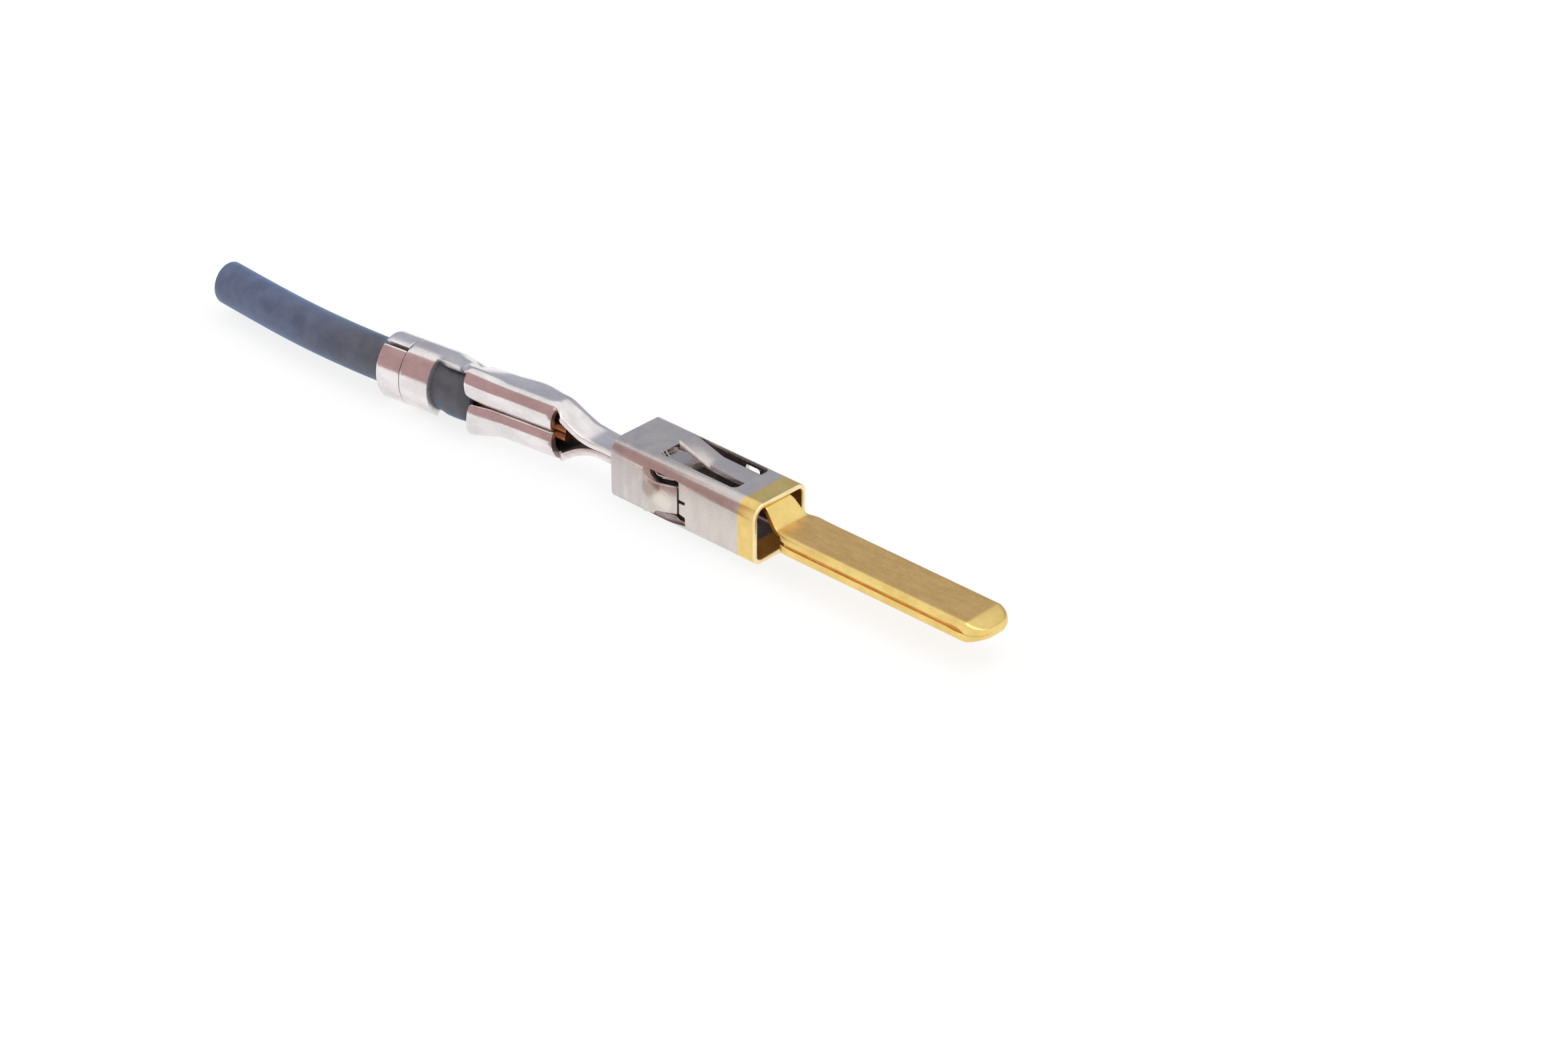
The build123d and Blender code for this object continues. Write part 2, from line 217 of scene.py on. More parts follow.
def turns(count):
    """Angles evenly spaced round a circle."""
    return [2 * math.pi * k / count for k in range(count)]


# Materials


def node(tree, kind, **inputs):
    """A shader node with its sockets set, each from a value or another node's output."""
    made = tree.nodes.new(kind)
    for name, value in inputs.items():
        socket = made.inputs[int(name[1:])] if name[0] == "_" else made.inputs[name.replace("_", " ")]
        if isinstance(value, bpy.types.NodeSocket):
            tree.links.new(value, socket)
        else:
            socket.default_value = value
    return made


def math_node(tree, operation, first, second=0.0):
    made = node(tree, "ShaderNodeMath", _0=first, _1=second)
    made.operation = operation
    return made.outputs[0]


def ramp(tree, value, low, high, start=0.0, end=1.0):
    """start below low, end above high, eased between."""
    made = node(tree, "ShaderNodeMapRange", Value=value)
    made.interpolation_type = "SMOOTHSTEP"
    made.inputs["From Min"].default_value = low
    made.inputs["From Max"].default_value = high
    made.inputs["To Min"].default_value = start
    made.inputs["To Max"].default_value = end
    return made.outputs[0]


def mix(tree, factor, first, second):
    made = tree.nodes.new("ShaderNodeMix")
    made.data_type = "RGBA"
    for socket, value in ((made.inputs[0], factor), (made.inputs[6], first), (made.inputs[7], second)):
        if isinstance(value, bpy.types.NodeSocket):
            tree.links.new(value, socket)
        else:
            socket.default_value = value
    return made.outputs[2]


def noise(tree, vector, scale, detail=3.0, roughness=0.55):
    made = node(tree, "ShaderNodeTexNoise", Vector=vector, Scale=scale, Detail=detail, Roughness=roughness)
    return made.outputs["Fac"]


def shade(*colour):
    return (*colour, 1.0)


def start_material(name):
    """A material, its tree, its principled shader and the object's own coordinates in millimetres."""
    material = bpy.data.materials.new(name)
    material.use_nodes = True
    tree = material.node_tree
    shader = tree.nodes["Principled BSDF"]
    place = tree.nodes.new("ShaderNodeTexCoord")
    scaled = node(tree, "ShaderNodeMapping", Vector=place.outputs["Object"])
    scaled.inputs["Scale"].default_value = (1 / MM, 1 / MM, 1 / MM)
    return material, tree, shader, scaled.outputs[0]


def bump(tree, shader, height, strength, distance):
    made = node(tree, "ShaderNodeBump", Height=height, Strength=strength, Distance=distance)
    tree.links.new(made.outputs[0], shader.inputs["Normal"])


GOLD_TONES = ((0.80, 0.57, 0.19), (0.92, 0.69, 0.25))
INNER_GOLD_TONES = ((0.95, 0.46, 0.08), (1.0, 0.60, 0.14))


def metal(
    name, dark, light, rough, grain, stretch=(1.0, 1.0, 1.0), gold_from=None, gold_rough=0.24, plating=GOLD_TONES,
    painted_light_spots=(),
):
    """Formed sheet: blotches between two tones, fine grain, and gold plating ahead of a place along X.

    painted_light_spots: patches of painted shade and painted highlight, each a centre, a radius, a softness and a
    tone.
    """
    material, tree, shader, place = start_material(name)
    shader.inputs["Metallic"].default_value = 1.0
    drawn = node(tree, "ShaderNodeMapping", Vector=place)
    drawn.inputs["Scale"].default_value = stretch
    blotch = noise(tree, drawn.outputs[0], 2.2, 4.0)
    fine = noise(tree, drawn.outputs[0], 38.0, 2.0)
    tone = mix(tree, ramp(tree, blotch, 0.35, 0.68), shade(*dark), shade(*light))
    tone = mix(tree, ramp(tree, fine, 0.30, 0.85, 0.0, 0.22), tone, shade(*(c * 0.62 for c in dark)))
    roughness = ramp(tree, fine, 0.2, 0.8, rough - 0.05, rough + 0.07)
    # Painted light: each spot lays its tone over the sheet by place, as painted shade where darker and painted
    # highlight where lighter.
    for centre, radius, soft, painted_light_tone in painted_light_spots:
        offset = node(tree, "ShaderNodeVectorMath", _0=place, _1=centre)
        offset.operation = "DISTANCE"
        ragged = math_node(tree, "ADD", offset.outputs[1], ramp(tree, blotch, 0.3, 0.7, -soft, soft))
        tone = mix(tree, ramp(tree, ragged, radius - soft, radius + soft, 0.85, 0.0), tone, shade(*painted_light_tone))
    if gold_from is not None:
        split = node(tree, "ShaderNodeSeparateXYZ", Vector=place)
        wobble = noise(tree, place, 3.0, 2.0)
        along = math_node(tree, "ADD", split.outputs[0], ramp(tree, wobble, 0.2, 0.8, -0.02, 0.02))
        plated = ramp(tree, along, gold_from - 0.035, gold_from + 0.035)
        tone = mix(tree, plated, tone, gold_tone(tree, place, *plating))
        rough_mix = node(tree, "ShaderNodeMix", _0=plated)
        tree.links.new(roughness, rough_mix.inputs[2])
        rough_mix.inputs[3].default_value = gold_rough
        roughness = rough_mix.outputs[0]
    tree.links.new(tone, shader.inputs["Base Color"])
    tree.links.new(roughness, shader.inputs["Roughness"])
    bump(tree, shader, fine, grain, 0.004 * MM)
    return material


def gold_tone(tree, place, dark, light):
    blotch = noise(tree, place, 1.6, 3.0)
    fine = noise(tree, place, 30.0, 2.0)
    tone = mix(tree, ramp(tree, blotch, 0.3, 0.7), shade(*dark), shade(*light))
    return mix(tree, ramp(tree, fine, 0.35, 0.9, 0.0, 0.25), tone, shade(*(c * 0.72 for c in dark)))


def gold_material():
    """Gold plating: satin, with a painted reflection in tan on faces that face up or down, drawing lines along the
    tab and short scratches.
    """
    material, tree, shader, place = start_material("gold_plating")
    shader.inputs["Metallic"].default_value = 1.0
    drawn = node(tree, "ShaderNodeMapping", Vector=place)
    drawn.inputs["Scale"].default_value = (0.35, 1.0, 1.0)
    lines = noise(tree, drawn.outputs[0], 26.0, 3.0)
    scratch_place = node(tree, "ShaderNodeMapping", Vector=place)
    scratch_place.inputs["Rotation"].default_value = (0, 0, math.radians(62))
    scratch_place.inputs["Scale"].default_value = (0.9, 14.0, 1.0)
    scratches = ramp(tree, noise(tree, scratch_place.outputs[0], 1.3, 1.0), 0.765, 0.785)
    facing = node(tree, "ShaderNodeSeparateXYZ", Vector=tree.nodes["Texture Coordinate"].outputs["Normal"])
    # Painted reflection: faces that face up or down take a tan tone in place of the gold tone of the sides.
    flat = ramp(tree, math_node(tree, "ABSOLUTE", facing.outputs[2]), 0.95, 0.99)
    mottle = ramp(tree, noise(tree, drawn.outputs[0], 5.0), 0.3, 0.7)
    painted_tan_reflection = mix(tree, mottle, shade(0.83, 0.515, 0.175), shade(0.94, 0.61, 0.225))
    tone = mix(tree, flat, gold_tone(tree, place, *GOLD_TONES), painted_tan_reflection)
    tone = mix(tree, scratches, tone, shade(0.96, 0.82, 0.48))
    tree.links.new(tone, shader.inputs["Base Color"])
    tree.links.new(ramp(tree, lines, 0.2, 0.8, 0.24, 0.36), shader.inputs["Roughness"])
    bump(tree, shader, lines, 0.25, 0.004 * MM)
    return material


def insulation_material():
    """Dark blue-grey insulation, slightly mottled, with painted shade making it darker and greyer towards the
    crimps, with a bluish sheen.
    """
    material, tree, shader, place = start_material("wire_insulation_blue")
    blotch = noise(tree, place, 1.8, 4.0)
    fine = noise(tree, place, 24.0, 3.0)
    # Painted shade: lighter and bluer away from the crimps, darker and greyer towards them and inside the grip and
    # channel.
    lighter_away_from_crimps = mix(tree, ramp(tree, blotch, 0.3, 0.7), shade(0.072, 0.090, 0.162), shade(0.106, 0.130, 0.222))
    painted_shade_at_crimps = mix(tree, ramp(tree, blotch, 0.3, 0.7), shade(0.066, 0.063, 0.072), shade(0.098, 0.095, 0.110))
    split = node(tree, "ShaderNodeSeparateXYZ", Vector=place)
    grip_at = START.x - GRIP_REAR
    tone = mix(tree, ramp(tree, split.outputs[0], grip_at - 5.5, grip_at + 0.9), lighter_away_from_crimps, painted_shade_at_crimps)
    tone = mix(tree, ramp(tree, fine, 0.4, 0.9, 0.0, 0.35), tone, shade(0.115, 0.120, 0.155))
    tree.links.new(tone, shader.inputs["Base Color"])
    tree.links.new(ramp(tree, fine, 0.2, 0.8, 0.42, 0.56), shader.inputs["Roughness"])
    shader.inputs["Sheen Weight"].default_value = 0.60
    shader.inputs["Sheen Roughness"].default_value = 0.35
    shader.inputs["Sheen Tint"].default_value = shade(0.25, 0.55, 1.0)
    bump(tree, shader, fine, 0.35, 0.008 * MM)
    return material


GOLD = gold_material()
TIN = metal(
    "tin_plating", (0.755, 0.715, 0.705), (0.895, 0.855, 0.845), 0.16, 0.12, (0.5, 1.0, 1.0),
    # Painted shade: a darker patch on the top of the sheet inside the box, where it lies under the window and the
    # lance.
    painted_light_spots=(((REAR + 1.9, -0.1, PLATE_TOP), 0.95, 0.25, (0.50, 0.445, 0.435)),),
)
# Painted shade: darker tin for the inner faces of the neck and crimps and for the plates inside the box, with a
# rougher finish.
TIN_INSIDE_PAINTED_SHADE = metal("tin_inside_painted_shade", (0.44, 0.42, 0.43), (0.60, 0.575, 0.58), 0.42, 0.3)
CUT_EDGE = metal("cut_edge", (0.78, 0.75, 0.73), (0.93, 0.90, 0.88), 0.34, 0.4, (1.0, 1.0, 6.0))
# Painted shade: darker orange-brown gold for the tab's inner faces, seen in its groove.
GOLD_INSIDE_PAINTED_SHADE = metal("gold_inside_painted_shade", (0.60, 0.32, 0.08), (0.78, 0.46, 0.14), 0.35, 0.2)
STEEL = metal(
    "lock_box_steel", (0.65, 0.60, 0.565), (0.72, 0.66, 0.61), 0.25, 0.35, (1.3, 1.3, 0.45), MOUTH - 0.62,
    painted_light_spots=(
        # Painted shade: darker at the rear of the near wall.
        ((REAR, -BOX_HALF, MID), 1.0, 0.55, (0.575, 0.535, 0.535)),
        # Painted shade: a dark brown patch on the pressed tab's bend.
        ((REAR + 1.52, -BOX_HALF + 0.06, 0.93), 0.27, 0.12, (0.42, 0.33, 0.28)),
        # Painted highlight: a pale warm patch round the dimple.
        ((REAR + 1.84, -BOX_HALF + 0.10, 0.58), 0.28, 0.09, (0.80, 0.73, 0.65)),
    ),
)
STEEL_EDGE = metal("steel_edge", (0.66, 0.62, 0.60), (0.84, 0.80, 0.77), 0.28, 0.3)
# Painted shade: dark orange-brown gold for the plate in the tab's groove.
FOLD_GOLD_PAINTED_SHADE = metal("fold_gold_painted_shade", (0.64, 0.33, 0.09), (0.78, 0.46, 0.15), 0.40, 0.3)
# Painted highlight: paler, creamier gold on the cut rim round the box's mouth.
RIM_GOLD_PAINTED_HIGHLIGHT = metal("rim_gold_painted_highlight", (0.93, 0.76, 0.42), (1.0, 0.87, 0.56), 0.30, 0.3)
# Painted shade: much darker steel for the faces inside the box; towards the mouth they turn to deep orange gold.
STEEL_INSIDE_PAINTED_SHADE = metal(
    "steel_inside_painted_shade", (0.34, 0.28, 0.28), (0.48, 0.39, 0.38), 0.38, 0.3, (1, 1, 1), MOUTH - 0.75, 0.34,
    INNER_GOLD_TONES,
)
COPPER = metal("strand_copper", (0.32, 0.13, 0.055), (0.60, 0.29, 0.13), 0.40, 0.4)
INSULATION = insulation_material()


# Meshes


def make_object(name, mesh, materials, nodes=()):
    piece = bpy.data.objects.new(name, mesh)
    bpy.context.scene.collection.objects.link(piece)
    for material in materials:
        mesh.materials.append(material)
    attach(piece, "root")
    if nodes:
        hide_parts(*nodes)
    return piece


def grid_mesh(name, rows, keep=None, closed=False, flip=False, closed_ends=False):
    """A mesh over rows of points in millimetres. keep(row, column) says which faces there are."""
    bm = bmesh.new()
    made = [[bm.verts.new(p * MM) for p in row] for row in rows]
    width = len(rows[0])
    for i in range(len(rows) - (0 if closed_ends else 1)):
        here, there = made[i], made[(i + 1) % len(rows)]
        for j in range(width if closed else width - 1):
            if keep and not keep(i, j):
                continue
            k = (j + 1) % width
            corners = (here[j], here[k], there[k], there[j])
            bm.faces.new(corners[::-1] if flip else corners)
    bmesh.ops.remove_doubles(bm, verts=bm.verts, dist=1e-7)
    bmesh.ops.delete(bm, geom=[v for v in bm.verts if not v.link_faces], context="VERTS")
    for face in bm.faces:
        face.smooth = True
    mesh = bpy.data.meshes.new(name)
    bm.to_mesh(mesh)
    bm.free()
    return mesh


def close_ends(mesh):
    """Caps a mesh's open ends, and turns its faces outwards."""
    bm = bmesh.new()
    bm.from_mesh(mesh)
    bmesh.ops.holes_fill(bm, edges=[e for e in bm.edges if e.is_boundary], sides=0)
    bmesh.ops.recalc_face_normals(bm, faces=bm.faces)
    bm.to_mesh(mesh)
    bm.free()


def edge_finish(piece, width, angle=38, segments=2):
    """Rounds cut edges a little, and keeps the flats flat."""
    rounding = piece.modifiers.new("edges", "BEVEL")
    rounding.limit_method = "ANGLE"
    rounding.angle_limit = math.radians(angle)
    rounding.width = width * MM
    rounding.segments = segments
    weighted = piece.modifiers.new("normals", "WEIGHTED_NORMAL")
    weighted.keep_sharp = False
    weighted.weight = 60


def thicken(piece, thickness, width=0.022):
    """Gives a sheet its thickness inwards; inner faces and cut edges take the next two materials."""
    solid = piece.modifiers.new("sheet", "SOLIDIFY")
    solid.thickness = thickness * MM
    solid.offset = -1
    solid.use_even_offset = True
    solid.material_offset = 1
    solid.material_offset_rim = 2
    edge_finish(piece, width)


def prism(name, outline, axis, low, high):
    """A closed outline, given in the two other axes in order, carried along one axis. Millimetres."""
    bm = bmesh.new()
    order = {"X": lambda u, v, w: (w, u, v), "Y": lambda u, v, w: (u, w, v), "Z": lambda u, v, w: (u, v, w)}[axis]
    rings = [[bm.verts.new(Vector(order(p[0], p[1], w)) * MM) for p in outline] for w in (low, high)]
    bm.faces.new(rings[0][::-1])
    bm.faces.new(rings[1])
    count = len(outline)
    for j in range(count):
        bm.faces.new((rings[0][j], rings[0][(j + 1) % count], rings[1][(j + 1) % count], rings[1][j]))
    bmesh.ops.recalc_face_normals(bm, faces=bm.faces)
    mesh = bpy.data.meshes.new(name)
    bm.to_mesh(mesh)
    bm.free()
    made = bpy.data.objects.new(name, mesh)
    bpy.context.scene.collection.objects.link(made)
    return made


def outline(points, radii, steps=6):
    """A closed outline with each corner rounded by its radius."""
    flat = [Vector(p) for p in points]
    found = []
    for k, radius in enumerate(radii):
        if radius:
            found += fillet(flat[k - 1], flat[k], flat[(k + 1) % len(flat)], radius, steps)
        else:
            found.append(flat[k])
    return found


def combine(first, operation, second):
    """Boolean of two objects into the first one; the second is used up."""
    cut = first.modifiers.new("cut", "BOOLEAN")
    cut.operation = operation
    cut.solver = "EXACT"
    cut.object = second
    bpy.context.view_layer.update()
    result = bpy.data.meshes.new_from_object(first.evaluated_get(bpy.context.evaluated_depsgraph_get()))
    first.modifiers.clear()
    first.data = result
    bpy.data.objects.remove(second)


# Neck, barrel, bell, channel and grip: one strip


def ellipse_section():
    angles = [2 * math.pi * j / COLUMNS for j in range(COLUMNS + 1)]
    return [Vector((-GRIP_DEEP * math.cos(a), GRIP_WIDE * math.sin(a))) for a in angles]


def half_section(d, wing_end, lift):
    """Outer face of the upper half of the neck, barrel or bell, in the plane square to the axis."""
    near = eased(NEAR_FACE, d)
    high = eased(HALF_HEIGHT, d) + lift
    far = eased(FAR_FACE, d)
    curl = eased(CURL, d)
    gap = eased(wing_end, d, 0.05)
    top_far = Vector((far, high - eased(FAR_DROP, d)))
    roll = NECK_ROLL + (min(LOBE, (high - gap) / 2) - NECK_ROLL) * smooth(-0.32, 0, d)
    centre = Vector((near + roll, high - roll))

    def turned(angle, across=roll):
        rise = roll if angle > 0 else centre.y - gap
        return Vector((near + across * (1 - math.cos(angle)), centre.y + rise * math.sin(angle)))

    crest = [turned(LOBE_TURN + (math.pi / 2 - LOBE_TURN) * k / 8) for k in range(9)]
    far_arc = fillet(crest[-1], top_far, Vector((far, 0)), min(FAR_ROUND, top_far.y - 0.004))
    if d < 0:
        half = [crest[0].copy() for _ in range(EDGE)]
    else:
        wing = [turned(-math.pi / 2 * k / 16, curl) for k in range(16, 0, -1)]
        wing += [turned(LOBE_TURN * k / 10) for k in range(11)]
        half = resample(wing, EDGE)[:-1]
    half += resample(crest + far_arc[:6], FAR_CORNER - EDGE)[:-1]
    return half + resample(far_arc[5:] + [Vector((far, 0))], COLUMNS // 2 - FAR_CORNER)


def formed_section(d):
    upper = half_section(d, UPPER_END, eased(UPPER_LIFT, d))
    return upper + [Vector((p.x, -p.y)) for p in half_section(d, LOWER_END, 0)[-2::-1]]


def axis_point(d):
    return START - FORWARD * d if d > 0 else START - Vector((d, 0, 0))


def placed(section, d):
    """A section set square to the crimp axis, which swings out of the tab's line at the neck."""
    turn = smooth(-0.6, 0.1, d)
    side = Vector((0, 1, 0)).lerp(SIDE, turn)
    up = Vector((0, 0, 1)).lerp(UP, turn)
    return [axis_point(d) + side * p.x + up * p.y for p in section]


def strip_row(d):
    """Outer face at d. The lobes' front ends slant back towards the seam, and the channel is slimmer than the grip,
    with its upper edge flared."""
    if d <= BELL_REAR:
        row = placed(formed_section(d), d)
        if d >= 0:
            for j in range(EDGE):
                back = FRONT_SLANT * (1 - j / EDGE) * (1 - smooth(0, 0.7, d))
                row[j] -= FORWARD * back
                row[COLUMNS - j] -= FORWARD * back
        return row
    ring = ellipse_section()
    opened = smooth(BELL_REAR, BELL_REAR + 0.55, d)
    if opened < 1:
        bell = formed_section(BELL_REAR)
        ring = [b.lerp(r, opened) for b, r in zip(bell, ring)]
    flared = smooth(BELL_REAR + 0.1, BELL_REAR + 0.4, d) * (1 - smooth(GRIP_FRONT - 0.3, GRIP_FRONT, d))
    for k, share in enumerate((0.03, 0.012, 0.004)):
        ring[EDGE + k] *= 1 + share * flared
    slim = CHANNEL_SLIM * (1 - smooth(BELL_REAR + 0.2, GRIP_FRONT, d))
    for j in range(EDGE, CHANNEL_END):
        ring[j] *= 1 - slim * smooth(EDGE + 4, SLIM_FROM, j) * (1 - smooth(SLIM_TO, CHANNEL_END, j))
    return placed(ring, d)


SLIT = 0.03
PLATE_CUT = REAR + 2.45
BODY_FRONT = MOUTH - 1.48
strip_places = [
    START.x - BODY_FRONT, START.x - PLATE_CUT, 0.0, BELL_REAR, GRIP_FRONT, BAND_SPLIT, BAND_SPLIT + SLIT, GRIP_REAR,
]
strip_d = stations(strip_places, 0.07)


def strip_keep(i, j):
    """Which faces of the strip there are, by place along the axis and column round it."""
    d = (strip_d[i] + strip_d[i + 1]) / 2
    if d < START.x - PLATE_CUT:
        return FAR_CORNER <= j < COLUMNS - EDGE
    if d < 0:
        return EDGE <= j < COLUMNS - EDGE
    if d < BELL_REAR:
        return True
    if d < GRIP_FRONT:
        return EDGE <= j < CHANNEL_END
    if d < BAND_SPLIT:
        return not (CHANNEL_END if d < GRIP_FRONT + SHORT_WING_BACK else FRONT_SLOT_START) <= j < FRONT_SLOT_END
    if d < BAND_SPLIT + SLIT:
        return j in LINK
    return j not in REAR_SLOT


strip_rows = [strip_row(d) for d in strip_d]
strip_mesh = grid_mesh("neck_and_crimps", strip_rows, strip_keep)
# Its inner faces take the darker tin, painted shade.
strip = make_object("neck_and_crimps", strip_mesh, (TIN, TIN_INSIDE_PAINTED_SHADE, CUT_EDGE), ["contact_body"])
thicken(strip, SHEET)


# Tab and its root

NEAR_EDGE = ((MOUTH - 0.1, BODY_NEAR), (MOUTH + 0.30, BODY_NEAR + 0.03), (MOUTH + 0.62, 0.69), (FLARE_END, TAB_HALF))
FAR_EDGE = ((MOUTH - 0.1, BODY_FAR), (MOUTH + 0.25, 0.52), (MOUTH + 0.75, TAB_HALF))
TAB_TOP = TAB_MID + TAB_HALF_THICK
TOP_LINE = (
    (MOUTH + 0.02, PLATE_TOP), (TAB_REAR, TAB_TOP), (TAB_END - TIP_BEVEL, TAB_TOP),
    (TAB_END, TAB_MID + TIP_HALF_THICK),
)
TIP_LINE = ((TAB_END - TIP_BEVEL, TAB_HALF_THICK), (TAB_END, TIP_HALF_THICK))
GROOVE_END = TAB_END - 0.42
LIP, BEND, FLAT, WALL = 3, 6, 14, 4


def tab_section(x):
    """Outer face of the tab, from the groove's upper lip over the top and round to its lower lip."""
    top = eased(TOP_LINE, x, 0.10 if x < TAB_REAR + 0.3 else 0.05)
    low = TAB_MID - eased(TIP_LINE, x, 0.05)
    near = -eased(NEAR_EDGE, x, 0.12)
    far = eased(FAR_EDGE, x, 0.12)
    corner = max(0.0, x - (TAB_END - TIP_CORNER)) / TIP_CORNER
    inset = TIP_CORNER * (1 - math.sqrt(max(0.0, 1 - min(1, corner) ** 2)))
    near += inset
    far -= inset
    bend = 0.03 + (TAB_ROUND - 0.03) * smooth(LEAF_START - 0.35, LEAF_START + 0.5, x)
    bend = min(bend, (top - low) / 2 - 0.03)
    middle = (top + low) / 2 if x > LEAF_START else TAB_MID
    groove = TAB_GROOVE + GROOVE_WIDER * smooth(TAB_END - 1.1, TAB_END - 0.8, x)
    closed = smooth(TAB_END - 0.75, GROOVE_END, x)
    groove += (GROOVE_SHUT - groove) * closed
    corners = [Vector(c) for c in ((near, top), (far, top), (far, low), (near, low))]
    middle += GROOVE_RISE * (1 - closed)
    lips = (Vector((near, middle + groove)), Vector((near, middle - groove)))
    ring = []
    ring += resample([lips[0], Vector((near, top - bend))], LIP)[:-1]
    for k, count in enumerate((FLAT, WALL, FLAT)):
        before = lips[0] if k == 0 else corners[k - 1]
        arc = resample(fillet(before, corners[k], corners[k + 1], bend), BEND)
        following = fillet(corners[k], corners[k + 1], corners[k + 2] if k < 2 else lips[1], bend)[0]
        ring += arc[:-1] + resample([arc[-1], following], count)[:-1]
    last = resample(fillet(corners[2], corners[3], lips[1], bend), BEND)
    ring += last[:-1] + resample([last[-1], lips[1]], LIP)
    return [Vector((x, p.x, p.y)) for p in ring]


BEVEL_START = TAB_END - TIP_BEVEL
tab_x = stations([NOSE_REAR, MOUTH - 0.1, LEAF_START], 0.04)[:-1]
tab_x += stations([LEAF_START, BEVEL_START - 0.1], 0.12)[:-1]
tab_x += stations([BEVEL_START - 0.1, BEVEL_START + 0.1], 0.02)[:-1]
tab_x += stations([BEVEL_START + 0.1, TAB_END - 0.12], 0.03)
tab_x += [TAB_END - back for back in (0.08, 0.05, 0.025, 0.01, 0.002)]
tab_rows = [tab_section(x) for x in tab_x]
tip_middle = Vector((TAB_END - 0.001, 0, TAB_MID))
for share in (0.6, 0.25, 0.02):
    tab_rows.append([tip_middle + (p - tip_middle) * share for p in tab_rows[len(tab_x) - 1]])
    tab_x.append(TAB_END)


def tab_keep(i, j):
    return tab_x[i] >= LEAF_START - 0.001 or LIP <= j < LIP + BEND + FLAT + BEND


tab_mesh = grid_mesh("gold_tab", tab_rows, tab_keep, flip=True)
tab = make_object("gold_tab", tab_mesh, (GOLD, GOLD_INSIDE_PAINTED_SHADE, GOLD), ["contact_body"])
thicken(tab, SHEET - 0.01, 0.018)


# Plates inside the box: the web that carries the nose, and the flange behind the pressed tab


def plate(name, points, y_low, y_high, material=TIN_INSIDE_PAINTED_SHADE):
    made = prism(name, [Vector(p) for p in points], "Y", y_low, y_high)
    made.data.materials.append(material)
    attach(made, "root")
    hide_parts("contact_body")
    edge_finish(made, 0.015)
    return made


plate(
    "nose_web",
    (
        (BODY_FRONT - 0.05, PLATE_TOP - 0.01), (NOSE_REAR + 0.05, PLATE_TOP - 0.01),
        (NOSE_REAR + 0.05, PLATE_TOP - 2 * SHEET), (BODY_FRONT - 0.05, BOX_WALL + 2 * SHEET),
    ),
    BODY_FAR - SHEET, BODY_FAR - 0.002,
)
plate(
    "side_flange",
    (
        (REAR + 2.62, BOX_WALL + 0.01), (BODY_FRONT - 0.05, BOX_WALL + 0.01),
        (BODY_FRONT - 0.05, 1.20), (REAR + 2.62, 1.20),
    ),
    -BODY_NEAR, -BODY_NEAR + SHEET,
)
# Its dark orange-brown is painted shade in the groove.
plate(
    "tab_fold",
    (
        (MOUTH + 0.78, TAB_MID - 0.10), (GROOVE_END, TAB_MID - 0.07),
        (GROOVE_END, TAB_MID + 0.14), (MOUTH + 0.78, TAB_MID + 0.15),
    ),
    -TAB_HALF + 0.045, -TAB_HALF + 0.30, FOLD_GOLD_PAINTED_SHADE,
)


# Lock box

half = BOX_HALF
rim = [(-half, 0), (half, 0), (half, BOX_TOP), (-half, BOX_TOP)]
bends = [BOX_BEND] * 3 + [NEAR_BEND]
w = BOX_WALL
hollow = [(-half + w, w), (half - w, w), (half - w, BOX_TOP - w), (-half + w, BOX_TOP - w)]
lock_box = prism("lock_box_shell", outline(rim, bends, 12), "X", REAR, MOUTH)
hollow_line = outline(hollow, [bend - w for bend in bends], 12)
combine(lock_box, "DIFFERENCE", prism("hollow", hollow_line, "X", REAR - 1, MOUTH + 1))
WINDOW_REAR, WINDOW_FRONT = REAR + 1.46, MOUTH - 1.13
WINDOW_NEAR, WINDOW_FAR = -0.58, 0.82
window = [
    (WINDOW_REAR, WINDOW_NEAR), (WINDOW_FRONT, WINDOW_NEAR), (WINDOW_FRONT, WINDOW_FAR), (WINDOW_REAR, WINDOW_FAR)
]
combine(lock_box, "DIFFERENCE", prism("window", outline(window, [0.10, 0.18, 0.17, 0.10]), "Z", 1.5, 3))

# Lance: level from its root, then rising to a rounded free end
LANCE_NEAR, LANCE_FAR, LANCE_TIP, LANCE_RISE = -0.17, 0.45, REAR + 1.72, 0.33
LANCE_BEND = MOUTH - 2.52
LANCE_CHAMFER = 0.06
LANCE_ROOT = WINDOW_FRONT + 0.15
lance_side = [
    (LANCE_ROOT, BOX_TOP - w), (LANCE_BEND, BOX_TOP - w), (LANCE_TIP + 0.04, BOX_TOP - w + LANCE_RISE),
    (LANCE_TIP, BOX_TOP + LANCE_RISE - 0.005), (LANCE_BEND, BOX_TOP), (LANCE_ROOT, BOX_TOP),
]
lance = prism("lance", outline(lance_side, [0, 0.6, 0, 0, 0.7, 0], 10), "Y", LANCE_NEAR, LANCE_FAR)
chamfer = bmesh.new()
chamfer.from_mesh(lance.data)
upper_edges = [
    e for e in chamfer.edges
    if all(abs(v.co.y / MM - LANCE_NEAR) < 0.001 and v.co.x / MM < LANCE_BEND + 0.1 for v in e.verts)
    and e.calc_face_angle() > 1
    and sum(f.normal.z > 0.7 for f in e.link_faces) == 1
]
bmesh.ops.bevel(chamfer, geom=upper_edges, offset=LANCE_CHAMFER * MM, segments=1, profile=0.5, affect="EDGES")
chamfer.to_mesh(lance.data)
chamfer.free()
lance_plan = [
    (LANCE_TIP - 0.02, LANCE_NEAR - 0.001), (MOUTH, LANCE_NEAR - 0.001), (MOUTH, LANCE_FAR + 0.001),
    (LANCE_TIP - 0.02, LANCE_FAR + 0.001),
]
combine(lance, "INTERSECT", prism("lance_plan", outline(lance_plan, [0.16, 0, 0, 0.14]), "Z", 1, 3))
combine(lock_box, "UNION", lance)

